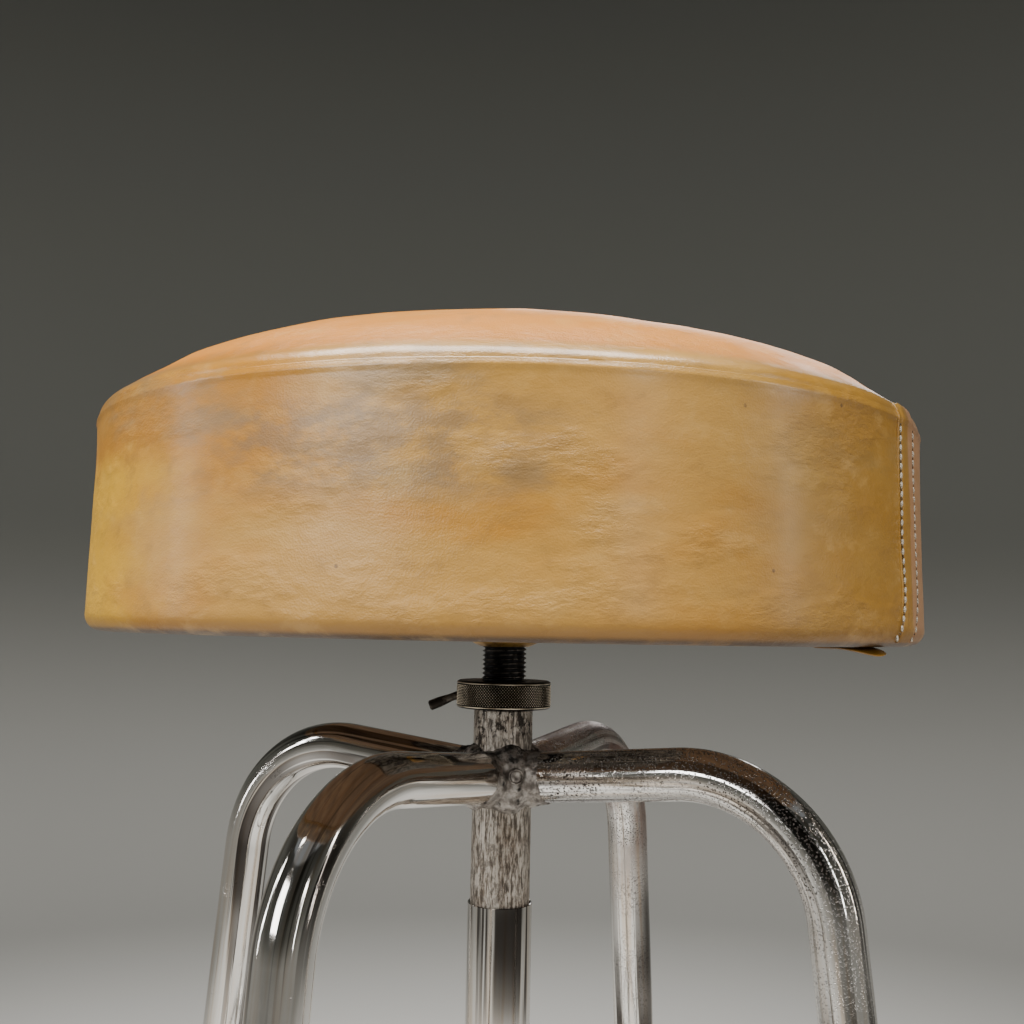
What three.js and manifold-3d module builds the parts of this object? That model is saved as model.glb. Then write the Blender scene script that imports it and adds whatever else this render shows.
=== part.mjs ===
// Screw-adjustable bar stool: a round leather seat on a threaded spindle, a threaded hub with a knurled
// lock ring, four bent tube legs welded to the hub, a footrest ring and rubber feet.
// Millimetres, +Z up. The origin is on the floor under the spindle. Legs stand at 45 degrees to X and Y.
import * as THREE from 'three';
import { mergeVertices } from 'three/addons/utils/BufferGeometryUtils.js';
import Module from 'manifold-3d';

const wasm = await Module();
wasm.setup();

// ---------------------------------------------------------------- driving dimensions
const gap = 0.3; // air left between two pieces that touch
const runClearance = 0.3; // radial air around the spindle
const degree = Math.PI / 180;

const seatHeight = 720; // floor to the top of the crown, lowest thread turns in use
const seatRadius = 180;
const bandHeight = 84; // straight part of the seat's side
const edgeRadius = 9.4; // roll between the side and the crown
const edgeTurn = 52 * degree; // how far that roll turns before the crown takes over
const crownRise = 31.9;
const crownPower = 4.5; // a high power is flat in the middle and steep at the rim
const leatherThickness = 1.6;
const hemWidth = 24; // leather turned under the board
const boardThickness = 15;
const seamAzimuth = -50.2 * degree;
const seamWidth = 23;
const seamThickness = 1.2;

const plateRadius = 70;
const plateThickness = 3;
const plateScrewCircle = 55;
const plateScrewRadius = 2.2;
const plateScrewLength = 14;
const plateScrewHeadRadius = 4.2;
const plateScrewHeadDepth = 2;
const plateScrewCount = 4;

const spindleRadius = 10;
const threadPitch = 2;
const threadShown = 15.3; // bare thread between the lock ring and the boss
const seatRise = 120; // lift from the stored height to the stop
const seatDrop = 10; // what the thread still lets the seat come down
const bossDrop = 4.3; // seat underside to the boss's tip
const bossTopRadius = 15;
const bossTipRadius = 11.2;
const stopWasherRadius = 12.6;
const stopWasherThickness = 2.5;
const stopNutRadius = 12.4;
const stopNutHeight = 7;

const ringRadius = 21.5;
const ringHeight = 12.4;
const ringBevel = 1.6;
const leverRadius = 1.5;
const leverTipRadius = 2.1;
const leverReach = 13.5; // bare lever outside the ring
const leverSeat = 5; // lever inside the ring
const leverDroop = 22 * degree;
const leverAzimuth = 165 * degree;
const leverHeight = 7.2; // above the ring's underside, at the lever's inner end
const washerRadius = 12.8;
const washerThickness = 1.2;

const hubRadius = 13.3;
const hubLength = 110;
const hubShown = 85.2; // bare hub above the sleeve
const sleeveWall = 0.7;
const sleeveOverrun = 12; // sleeve below the spindle's lowest point

const legCount = 4;
const legRadius = 11;
const legWall = 1.5;
const legAxisDrop = 31.2; // hub's top to the leg's axis
const legRun = 83.7; // hub's axis to the start of the bend
const legRise = 5.7 * degree;
const bendRadius = 58.8;
const legSplay = 6 * degree;
const weldCover = 5.4; // weld over the corner where two legs meet
const weldSpread = 1; // weld's half width beyond a leg's radius
const weldRise = 5; // weld above and below a leg
const weldDepth = 3.3; // middle of the weld's bead inside the hub's surface
const plugRadius = 3.5;
const plugLength = 1.6;
const plugLift = 3.6; // above the leg's axis
const plugProud = 0.4;
const plugDimpleRadius = 1.2;

const footrestHeight = 260;
const footrestTubeRadius = 8;
const footrestWall = 1.2;
const footrestScrewRadius = 2.5;
const footrestScrewHeadRadius = 5;
const footrestScrewHeadHeight = 3;
const footRubber = 6; // rubber under the tube
const footWall = 3.6;
const footCover = 26; // tube inside the rubber foot
const footWasherThickness = 1.5;

const tubeSides = 16;
const roundSides = 32;
const smallSides = 12;
const seatSides = 48;
const footrestSides = 40;
const bendSteps = 7;

// ---------------------------------------------------------------- worked-out sizes
const rollRise = edgeRadius * Math.sin(edgeTurn);
const crownRadius = seatRadius - edgeRadius * (1 - Math.cos(edgeTurn));
const seatBottom = seatHeight - bandHeight - rollRise - crownRise;
const boardBottom = seatBottom + leatherThickness + gap;
const boardTop = boardBottom + boardThickness;
const plateTop = boardBottom - gap;
const plateBottom = plateTop - plateThickness;
const bossTip = seatBottom - bossDrop;
const ringTop = bossTip - threadShown;
const ringBottom = ringTop - ringHeight;
const hubTop = ringBottom - gap;
const hubBottom = hubTop - hubLength;
const boreRadius = (spindleRadius + runClearance) / Math.cos(Math.PI / roundSides);
const stopWasherTop = hubBottom - seatRise - gap;
const stopNutTop = stopWasherTop - stopWasherThickness - gap;
const spindleBottom = stopNutTop - stopNutHeight;
const sleeveTop = hubTop - hubShown;
const sleeveBottom = spindleBottom - seatDrop - sleeveOverrun;
const sleeveBore = (hubRadius + gap) / Math.cos(Math.PI / roundSides);
const sleeveRadius = sleeveBore + sleeveWall;

const legAxisHeight = hubTop - legAxisDrop;
const bendTop = legAxisHeight + legRun * Math.tan(legRise);
const bendTurn = Math.PI / 2 + legRise - legSplay;
const bendCentre = new THREE.Vector3(
  legRun + bendRadius * Math.sin(legRise), 0, bendTop - bendRadius * Math.cos(legRise));
const bendEnd = bendPoint(bendTurn);
const footRadius = bendEnd.x + bendEnd.z * Math.tan(legSplay);
const tubeLift = footRubber + footWasherThickness + 2 * gap; // foot point to the tube's end, along the leg
const legEnd = legPointAtLift(tubeLift);
const footBore = (legRadius + gap) / Math.cos(Math.PI / tubeSides);
const footOuter = footBore + footWall;
const weldCentre = hubRadius - weldDepth;
const weldReach = Math.max(legRadius * Math.SQRT2, hubRadius) + weldCover; // hub's axis to the weld's face
const footrestRadius = legAxisRadius(footrestHeight) - legRadius / Math.cos(legSplay) - gap
  - footrestTubeRadius;

function bendPoint(turn) {
  const angle = Math.PI / 2 + legRise - turn;
  return new THREE.Vector3(
    bendCentre.x + bendRadius * Math.cos(angle), 0, bendCentre.z + bendRadius * Math.sin(angle));
}

function legPointAtLift(lift) {
  return new THREE.Vector3(footRadius - lift * Math.sin(legSplay), 0, lift * Math.cos(legSplay));
}

function legAxisRadius(height) {
  return footRadius - height * Math.tan(legSplay);
}

// ---------------------------------------------------------------- materials
function finish(color, roughness, metalness) {
  return new THREE.MeshStandardMaterial({ color, roughness, metalness });
}

const looks = {
  leather: finish(0xb98f55, 0.45, 0),
  foam: finish(0xd8cfa8, 0.95, 0),
  plywood: finish(0xb58a5a, 0.8, 0),
  chrome: finish(0xd9dadb, 0.08, 1),
  bareSteel: finish(0x8d857c, 0.42, 1),
  darkSteel: finish(0x35322f, 0.4, 0.9),
  weld: finish(0x77716b, 0.5, 0.9),
  brass: finish(0xa8823c, 0.4, 0.8),
  rubber: finish(0x1d1c1b, 0.85, 0),
  fibre: finish(0x4a2d22, 0.8, 0),
};

// ---------------------------------------------------------------- shape helpers
function toSolid(geometry) {
  const bare = geometry.clone();
  bare.deleteAttribute('normal');
  bare.deleteAttribute('uv');
  const merged = mergeVertices(bare, 1e-4);
  return new wasm.Manifold(new wasm.Mesh({
    numProp: 3,
    vertProperties: new Float32Array(merged.attributes.position.array),
    triVerts: new Uint32Array(merged.index.array),
  }));
}

function toGeometry(solid) {
  const mesh = solid.getMesh();
  const geometry = new THREE.BufferGeometry();
  geometry.setAttribute('position', new THREE.BufferAttribute(new Float32Array(mesh.vertProperties), 3));
  geometry.setIndex(new THREE.BufferAttribute(new Uint32Array(mesh.triVerts), 1));
  geometry.computeVertexNormals();
  return geometry;
}

// Revolves a profile of [radius, height] points about +Z. It runs up the outside and ends on the axis
// or where it began.
function revolve(profile, sides = roundSides) {
  const points = profile.map(([radius, height]) => new THREE.Vector2(radius, height));
  return new THREE.LatheGeometry(points, sides).rotateX(Math.PI / 2);
}

function disc(radius, bottom, top, sides = roundSides) {
  return revolve([[0, bottom], [radius, bottom], [radius, top], [0, top]], sides);
}

function ring(inner, outer, bottom, top, sides = roundSides) {
  return revolve([[inner, bottom], [outer, bottom], [outer, top], [inner, top], [inner, bottom]], sides);
}

// A rod along +X from the point (start, 0, height).
function rodAlongX(radius, start, end, height, sides = tubeSides) {
  return disc(radius, start, end, sides).rotateY(Math.PI / 2).translate(0, 0, height);
}

// A curve through given stations with given tangents, so that a sweep puts its sections just there.
class StationCurve extends THREE.Curve {
  constructor(points, tangents) {
    super();
    this.points = points;
    this.tangents = tangents;
  }

  getPointAt(u) {
    return this.points[Math.round(u * (this.points.length - 1))].clone();
  }

  getTangentAt(u) {
    return this.tangents[Math.round(u * (this.points.length - 1))].clone();
  }
}

// One leg's centreline in the XZ plane: a rising run out of the hub, a bend and a splayed straight.
function legPath(start) {
  const outward = new THREE.Vector3(Math.cos(legRise), 0, Math.sin(legRise));
  const points = [new THREE.Vector3(start, 0, legAxisHeight + start * Math.tan(legRise))];
  const tangents = [outward];
  for (let step = 0; step <= bendSteps; step += 1) {
    const turn = bendTurn * step / bendSteps;
    points.push(bendPoint(turn));
    tangents.push(new THREE.Vector3(Math.cos(legRise - turn), 0, Math.sin(legRise - turn)));
  }
  points.push(legEnd);
  tangents.push(tangents[tangents.length - 1].clone());
  return new StationCurve(points, tangents);
}

function circleShape(radius, sides) {
  const shape = new THREE.Shape();
  for (let side = 0; side < sides; side += 1) {
    const angle = 2 * Math.PI * (side + 0.5) / sides;
    const point = [radius * Math.cos(angle), radius * Math.sin(angle)];
    if (side === 0) shape.moveTo(...point);
    else shape.lineTo(...point);
  }
  shape.closePath();
  return shape;
}

function legSweep(radius, start, bore = 0) {
  const shape = circleShape(radius, tubeSides);
  if (bore > 0) shape.holes.push(circleShape(bore, tubeSides));
  const path = legPath(start);
  return new THREE.ExtrudeGeometry(shape, { steps: path.points.length - 1, extrudePath: path });
}

// The quarter of space around +X that one leg or one weld may fill next to its neighbours.
function quarterWedge() {
  const reach = 2 * footRadius;
  const shape = new THREE.Shape();
  shape.moveTo(gap, 0);
  shape.lineTo(reach, -reach + gap);
  shape.lineTo(reach, reach - gap);
  shape.closePath();
  return new THREE.ExtrudeGeometry(shape, { depth: seatHeight, bevelEnabled: false });
}

const stool = new THREE.Group();

function addPiece(name, geometry, look, azimuth = 0) {
  const mesh = new THREE.Mesh(geometry, look.clone());
  mesh.name = name;
  mesh.rotation.z = azimuth;
  stool.add(mesh);
  return mesh;
}

// ---------------------------------------------------------------- seat
// Height of the seat's leather over its underside, on the crown, at a given radius.
function crownHeight(radius) {
  return bandHeight + rollRise + crownRise * (1 - (radius / crownRadius) ** crownPower);
}

// The seat's outline from the top of the side to the middle of the crown, drawn in by an inset.
function crownProfile(inset) {
  const rollSteps = 3;
  const crownSteps = 7;
  const profile = [];
  for (let step = 0; step <= rollSteps; step += 1) {
    const angle = edgeTurn * step / rollSteps;
    profile.push([
      seatRadius - edgeRadius + (edgeRadius - inset) * Math.cos(angle),
      seatBottom + bandHeight + (edgeRadius - inset) * Math.sin(angle),
    ]);
  }
  for (let step = 1; step <= crownSteps; step += 1) {
    const radius = crownRadius * (1 - step / crownSteps) ** 1.3;
    profile.push([radius, seatBottom + crownHeight(radius) - inset]);
  }
  return profile;
}

function makeTopLeather() {
  const outside = crownProfile(0);
  const inside = crownProfile(leatherThickness).reverse();
  return revolve([...outside, ...inside, outside[0]], seatSides);
}

function makeBandLeather() {
  const top = seatBottom + bandHeight - gap;
  const inner = seatRadius - leatherThickness;
  const fold = seatBottom + leatherThickness;
  return revolve([
    [seatRadius - hemWidth, seatBottom],
    [seatRadius, seatBottom],
    [seatRadius, top],
    [inner, top],
    [inner, fold],
    [seatRadius - hemWidth, fold],
    [seatRadius - hemWidth, seatBottom],
  ], seatSides);
}

function makePadding() {
  const inset = leatherThickness + gap;
  const outer = seatRadius - inset;
  return revolve([[0, boardTop + gap], [outer, boardTop + gap], ...crownProfile(inset)], seatSides);
}

function plateScrewAt(index, geometry) {
  const azimuth = 2 * Math.PI * index / plateScrewCount;
  return geometry.translate(plateScrewCircle, 0, 0).rotateZ(azimuth);
}

// A countersunk wood screw, head down, grown by a clearance when it is used as a cutter.
function plateScrewShape(clearance) {
  const head = plateScrewHeadRadius + clearance;
  const shank = plateScrewRadius + clearance;
  const bottom = plateBottom - clearance;
  const neck = plateBottom + plateScrewHeadDepth;
  const tip = plateBottom + plateScrewLength + clearance;
  return revolve([[0, bottom], [head, bottom], [head, plateBottom + gap], [shank, neck],
    [shank, tip - shank], [0, tip]], smallSides);
}

function cutPlateScrews(geometry) {
  let solid = toSolid(geometry);
  for (let index = 0; index < plateScrewCount; index += 1) {
    solid = solid.subtract(toSolid(plateScrewAt(index, plateScrewShape(gap))));
  }
  return toGeometry(solid);
}

// The lap strip stands on the band's outside and covers the joint in the leather.
function makeSeamStrip() {
  const inner = seatRadius + gap;
  const outer = inner + seamThickness;
  const half = seamWidth / 2 / seatRadius;
  const shape = new THREE.Shape();
  shape.absarc(0, 0, outer, -half, half, false);
  shape.absarc(0, 0, inner, half, -half, true);
  shape.closePath();
  const options = { depth: bandHeight - 2 * leatherThickness, bevelEnabled: false, curveSegments: 6 };
  return new THREE.ExtrudeGeometry(shape, options).translate(0, 0, seatBottom + leatherThickness);
}

addPiece('seat_top_leather', makeTopLeather(), looks.leather);
addPiece('seat_band_leather', makeBandLeather(), looks.leather);
addPiece('seat_seam_strip', makeSeamStrip(), looks.leather, seamAzimuth);
addPiece('seat_padding', makePadding(), looks.foam);
addPiece('seat_board', cutPlateScrews(
  disc(seatRadius - leatherThickness - gap, boardBottom, boardTop, seatSides)), looks.plywood);
addPiece('seat_plate', cutPlateScrews(
  ring(spindleRadius + gap, plateRadius, plateBottom, plateTop)), looks.darkSteel);
for (let index = 0; index < plateScrewCount; index += 1) {
  addPiece(`seat_screw_${index + 1}`, plateScrewAt(index, plateScrewShape(0)), looks.darkSteel);
}

// ---------------------------------------------------------------- spindle
addPiece('spindle_boss', revolve([
  [spindleRadius + gap, bossTip],
  [bossTipRadius, bossTip],
  [bossTopRadius, plateBottom - gap],
  [spindleRadius + gap, plateBottom - gap],
  [spindleRadius + gap, bossTip],
]), looks.brass);

function makeSpindle() {
  const chamfer = threadPitch / 2;
  return revolve([[0, spindleBottom], [spindleRadius - chamfer, spindleBottom],
    [spindleRadius, spindleBottom + chamfer], [spindleRadius, plateTop], [0, plateTop]]);
}

addPiece('spindle', makeSpindle(), looks.darkSteel);
addPiece('stop_washer', ring(spindleRadius + gap, stopWasherRadius,
  stopNutTop + gap, stopWasherTop), looks.darkSteel);
addPiece('stop_nut', ring(spindleRadius + gap, stopNutRadius,
  spindleBottom, stopNutTop), looks.darkSteel);

// ---------------------------------------------------------------- lock ring, lever and washer
// The lever's rod, drooping outward from the ring's wall.
function leverShape(radius, tip, length) {
  return revolve([
    [0, 0],
    [radius, 0],
    [radius, length - 2 * tip],
    [tip, length - tip],
    [tip * 0.7, length - tip * 0.3],
    [0, length],
  ], smallSides).rotateY(Math.PI / 2 + leverDroop).translate(ringRadius - leverSeat, 0, ringBottom + leverHeight);
}

function makeLockRing() {
  const recess = washerThickness + gap;
  const outline = revolve([
    [boreRadius, ringBottom + recess],
    [washerRadius + gap, ringBottom + recess],
    [washerRadius + gap, ringBottom],
    [ringRadius - ringBevel, ringBottom],
    [ringRadius, ringBottom + ringBevel],
    [ringRadius, ringTop - ringBevel],
    [ringRadius - ringBevel, ringTop],
    [boreRadius, ringTop],
    [boreRadius, ringBottom + recess],
  ], roundSides);
  const socket = leverShape(leverRadius + gap, leverRadius + gap, leverSeat + leverReach)
    .translate(-gap, 0, 0)
    .rotateZ(leverAzimuth);
  return toGeometry(toSolid(outline).subtract(toSolid(socket)));
}

addPiece('lock_ring', makeLockRing(), looks.darkSteel);
addPiece('lock_lever', leverShape(leverRadius, leverTipRadius, leverSeat + leverReach),
  looks.darkSteel, leverAzimuth);
addPiece('lock_washer', ring(boreRadius, washerRadius,
  ringBottom, ringBottom + washerThickness), looks.fibre);

// ---------------------------------------------------------------- hub and sleeve
addPiece('hub', ring(boreRadius, hubRadius, hubBottom, hubTop), looks.bareSteel);
addPiece('column_sleeve', ring(sleeveBore, sleeveRadius, sleeveBottom, sleeveTop), looks.chrome);

// ---------------------------------------------------------------- legs and welds
const hubCutter = disc((hubRadius + gap) / Math.cos(Math.PI / roundSides), 0, seatHeight);
const footrestScrewStart = footrestRadius + footrestTubeRadius * 0.3;
const footrestScrewSeat = legAxisRadius(footrestHeight) + legRadius / Math.cos(legSplay)
  + footrestScrewHeadRadius * Math.tan(legSplay) + gap;

function footrestScrew(clearance) {
  const head = footrestScrewHeadRadius + clearance;
  const shank = footrestScrewRadius + clearance;
  const end = footrestScrewSeat + footrestScrewHeadHeight + clearance;
  const start = footrestScrewStart - clearance;
  const seat = footrestScrewSeat - clearance;
  return revolve([[0, start], [shank, start], [shank, seat], [head, seat],
    [head, end - footrestScrewHeadHeight * 0.45], [head * 0.6, end], [0, end]], smallSides)
    .rotateY(Math.PI / 2)
    .translate(0, 0, footrestHeight);
}

function makeLeg() {
  const start = hubRadius / 2;
  return toGeometry(toSolid(legSweep(legRadius, start, legRadius - legWall))
    .subtract(toSolid(hubCutter))
    .intersect(toSolid(quarterWedge()))
    .subtract(toSolid(rodAlongX(
      footrestScrewRadius + gap, 0, 2 * footRadius, footrestHeight, smallSides))));
}

// A weld fills the corner between two legs at the hub. It is drawn about +X, with the legs at 45 degrees.
function makeWeld() {
  const blob = new THREE.SphereGeometry(1, 16, 12)
    .rotateX(Math.PI / 2)
    .scale(weldReach - weldCentre, legRadius + weldSpread, legRadius + weldRise)
    .translate(weldCentre, 0, legAxisHeight + weldCentre * Math.tan(legRise));
  let solid = toSolid(blob).subtract(toSolid(hubCutter)).intersect(toSolid(quarterWedge()));
  for (const side of [-1, 1]) {
    const leg = legSweep(legRadius + gap, 0).rotateZ(side * Math.PI / legCount);
    solid = solid.subtract(toSolid(leg));
  }
  return solid;
}

const plugFace = weldReach + plugProud;

function plugShape(clearance) {
  const height = legAxisHeight + plugLift;
  const outline = [[0, 0], [plugRadius + clearance, 0], [plugRadius + clearance, plugLength]];
  if (clearance > 0) outline.push([0, plugLength]);
  else outline.push([plugDimpleRadius, plugLength], [0, plugLength - plugDimpleRadius]);
  return revolve(outline, tubeSides)
    .translate(0, 0, -clearance)
    .rotateY(Math.PI / 2)
    .translate(plugFace - plugLength, 0, height);
}

for (let index = 0; index < legCount; index += 1) {
  const legAzimuth = Math.PI / legCount + 2 * Math.PI * index / legCount;
  const cornerAzimuth = 2 * Math.PI * index / legCount;
  const isFront = index === legCount - 1;
  const weld = isFront ? makeWeld().subtract(toSolid(plugShape(gap))) : makeWeld();
  addPiece(`leg_${index + 1}`, makeLeg(), looks.chrome, legAzimuth);
  addPiece(`weld_${index + 1}`, toGeometry(weld), looks.weld, cornerAzimuth);
  if (isFront) addPiece('hub_plug', plugShape(0), looks.bareSteel, cornerAzimuth);
}

// ---------------------------------------------------------------- footrest
function torus(radius, sides) {
  return new THREE.TorusGeometry(footrestRadius, radius, sides, footrestSides).translate(0, 0, footrestHeight);
}

function makeFootrestRing() {
  let solid = toSolid(torus(footrestTubeRadius, smallSides))
    .subtract(toSolid(torus(footrestTubeRadius - footrestWall, smallSides)));
  for (let index = 0; index < legCount; index += 1) {
    const azimuth = Math.PI / legCount + 2 * Math.PI * index / legCount;
    const hole = rodAlongX(
      footrestScrewRadius + gap, footrestRadius, 2 * footrestRadius, footrestHeight, smallSides);
    solid = solid.subtract(toSolid(hole.rotateZ(azimuth)));
  }
  return toGeometry(solid);
}

addPiece('footrest_ring', makeFootrestRing(), looks.chrome);

// ---------------------------------------------------------------- feet
// Pieces at a foot are revolved about the leg's axis, with the foot point on the floor as their zero.
function ontoFoot(geometry) {
  return geometry.rotateY(-legSplay).translate(footRadius, 0, 0);
}

function makeFoot() {
  const below = footOuter * Math.tan(legSplay) + 1;
  const top = tubeLift + footCover;
  const bevel = 2;
  const cup = revolve([
    [0, -below],
    [footOuter + 1, -below],
    [footOuter + 1, footRubber],
    [footOuter, footRubber + 2],
    [footOuter, top - bevel],
    [footOuter - bevel, top],
    [footBore, top],
    [footBore, footRubber],
    [0, footRubber],
  ], tubeSides);
  const floor = new THREE.BoxGeometry(4 * footOuter, 4 * footOuter, 2 * seatHeight)
    .translate(footRadius, 0, -seatHeight);
  return toGeometry(toSolid(ontoFoot(cup)).subtract(toSolid(floor)));
}

for (let index = 0; index < legCount; index += 1) {
  const azimuth = Math.PI / legCount + 2 * Math.PI * index / legCount;
  addPiece(`footrest_screw_${index + 1}`, footrestScrew(0), looks.darkSteel, azimuth);
  addPiece(`foot_${index + 1}`, makeFoot(), looks.rubber, azimuth);
  addPiece(`foot_washer_${index + 1}`, ontoFoot(
    disc(legRadius, footRubber + gap, footRubber + gap + footWasherThickness, tubeSides)),
    looks.bareSteel, azimuth);
}

export default stool;
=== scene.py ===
"""A bar stool: a leather seat on a screw, a knurled lock ring, a hub, four bent legs and a footrest ring."""

from math import cos, degrees, exp, hypot, pi, radians, sin, sqrt, tan

import bmesh
import bpy
from mathutils import Matrix, Vector, noise
from mathutils.bvhtree import BVHTree


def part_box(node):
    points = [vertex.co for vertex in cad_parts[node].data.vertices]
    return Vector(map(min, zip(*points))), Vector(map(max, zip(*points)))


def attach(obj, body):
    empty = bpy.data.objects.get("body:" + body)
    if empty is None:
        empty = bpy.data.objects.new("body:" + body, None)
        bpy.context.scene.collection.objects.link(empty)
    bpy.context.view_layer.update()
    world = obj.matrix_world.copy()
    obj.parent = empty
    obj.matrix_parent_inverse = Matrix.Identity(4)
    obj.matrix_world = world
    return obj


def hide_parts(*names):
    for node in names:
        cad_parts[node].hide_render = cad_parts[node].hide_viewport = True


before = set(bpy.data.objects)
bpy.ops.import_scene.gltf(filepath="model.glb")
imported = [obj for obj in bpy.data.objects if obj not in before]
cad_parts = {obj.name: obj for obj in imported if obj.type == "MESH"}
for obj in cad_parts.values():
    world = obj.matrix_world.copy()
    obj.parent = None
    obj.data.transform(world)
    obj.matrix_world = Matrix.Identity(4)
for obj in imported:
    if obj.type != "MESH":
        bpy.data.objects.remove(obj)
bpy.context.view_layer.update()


# ---- Legs ------------------------------------------------------------------------------------
# Four chromed steel tubes, each bent once on a former, welded to the hub at their upper ends.
# They lean out by six degrees. The plating is scratched lengthwise, pitted and browned by damp.

leg_radius = 0.011
leg_wall = 0.0015
leg_root = 0.009  # the tube's inner end, from the hub's middle
leg_run = 0.0837  # from the hub's middle to the start of the bend
leg_rise = radians(5.7)
leg_splay = radians(6)
bend_radius = 0.0588
leg_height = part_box("hub")[1].z - 0.0312  # where the legs' middle lines meet in the hub
leg_end_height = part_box("foot_washer_1")[1].z
leg_azimuths = [radians(45 + 90 * index) for index in range(4)]
run_start = Vector((leg_root, 0, leg_height + leg_root * tan(leg_rise)))
bend_start = Vector((leg_run, 0, leg_height + leg_run * tan(leg_rise)))
bend_pivot = bend_start + bend_radius * Vector((sin(leg_rise), 0, -cos(leg_rise)))
bend_end = bend_pivot + bend_radius * Vector((cos(leg_splay), 0, sin(leg_splay)))
bend_angle = pi / 2 + leg_rise - leg_splay

chrome_colour = "e4e2de"
chrome_tint = "d8c9b8"
dark_reflection_colour = "2b231e"  # painted reflection: crisp lengthwise streaks, darker than the plate, that stand for dark things mirrored in it
pit_colour = "2b211a"
rust_colour = "6e4630"


class Wire:
    """A socket in a material. Sums on it add Math nodes, and add() adds any other node."""

    def __init__(self, tree, socket=None):
        self.tree = tree
        self.socket = socket

    def add(self, kind, sockets=None, output=0, **settings):
        """Adds a node: its settings first, then the values or links of its sockets."""
        node = self.tree.nodes.new("ShaderNode" + kind)
        for name, value in settings.items():
            setattr(node, name, value)
        for name, value in (sockets or {}).items():
            if isinstance(value, Wire):
                self.tree.links.new(value.socket, node.inputs[name])
            else:
                node.inputs[name].default_value = value
        return Wire(self.tree, node.outputs[output] if node.outputs else None)

    def maths(self, operation, *values):
        return self.add("Math", dict(enumerate(values)), operation=operation)

    def __add__(self, other):
        return self.maths("ADD", self, other)

    def __radd__(self, other):
        return self.maths("ADD", other, self)

    def __sub__(self, other):
        return self.maths("SUBTRACT", self, other)

    def __rsub__(self, other):
        return self.maths("SUBTRACT", other, self)

    def __mul__(self, other):
        return self.maths("MULTIPLY", self, other)

    def __rmul__(self, other):
        return self.maths("MULTIPLY", other, self)


def colour(code):
    """A colour written as six hexadecimal digits, as the linear values that a shader takes."""
    shares = [int(code[start:start + 2], 16) / 255 for start in (0, 2, 4)]
    return tuple(s / 12.92 if s < 0.04045 else ((s + 0.055) / 1.055) ** 2.4 for s in shares) + (1,)


def mix(amount, first, second):
    """The first colour, turning to the second as amount goes from 0 to 1. Either may be a hex code."""
    first = colour(first) if isinstance(first, str) else first
    second = colour(second) if isinstance(second, str) else second
    return amount.add("Mix", {0: amount, 6: first, 7: second}, output=2, data_type="RGBA")


def fade(value, start, end):
    """0 before start and 1 after end, with a smooth step between them."""
    sockets = {"Value": value, "From Min": start, "From Max": end}
    return value.add("MapRange", sockets, interpolation_type="SMOOTHSTEP")


def larger(first, second):
    return first.maths("MAXIMUM", first, second)


def cloud(place, scale, stretch=(1, 1, 1), detail=3, roughness=0.5, shift=0):
    """Soft noise about 0.5, with blobs of about 1 / scale metres, drawn out where stretch is small."""
    spread = place.add("Mapping", {"Vector": place, "Scale": stretch, "Location": (shift, shift, shift)})
    return place.add("TexNoise", {"Vector": spread, "Scale": scale, "Detail": detail, "Roughness": roughness})


def specks(place, scale, size, stretch=(1, 1, 1)):
    """1 in small round specks, one to a cell of about 1 / scale metres, and 0 between them."""
    spread = place.add("Mapping", {"Vector": place, "Scale": stretch})
    distance = place.add("TexVoronoi", {"Vector": spread, "Scale": scale, "Randomness": 1})
    return fade(distance, size, size * 0.6)


def relief(height, depth, over=None):
    """A bump of that depth in metres, over another bump."""
    sockets = {"Height": height, "Distance": depth, "Strength": 1}
    if over:
        sockets["Normal"] = over
    return height.add("Bump", sockets)


def new_finish(name):
    """An empty material, and a wire to build its nodes on."""
    finish = bpy.data.materials.new(name)
    finish.use_nodes = True
    finish.node_tree.nodes.clear()
    return finish, Wire(finish.node_tree)


def lacquer(wire, sockets):
    """Ends a material in one shader with those sockets."""
    shader = wire.add("BsdfPrincipled", sockets)
    wire.add("OutputMaterial", {"Surface": shader})


def object_place(wire):
    return wire.add("TexCoord", output="Object")


def straight_place(wire):
    """Places on a bent tube as if it were straight: x and y across it, z along it."""
    return wire.add("Attribute", output="Vector", attribute_name="straight")


def part_of(place, axis):
    """One coordinate of a place."""
    return place.add("SeparateXYZ", {"Vector": place}, output=axis)


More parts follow.
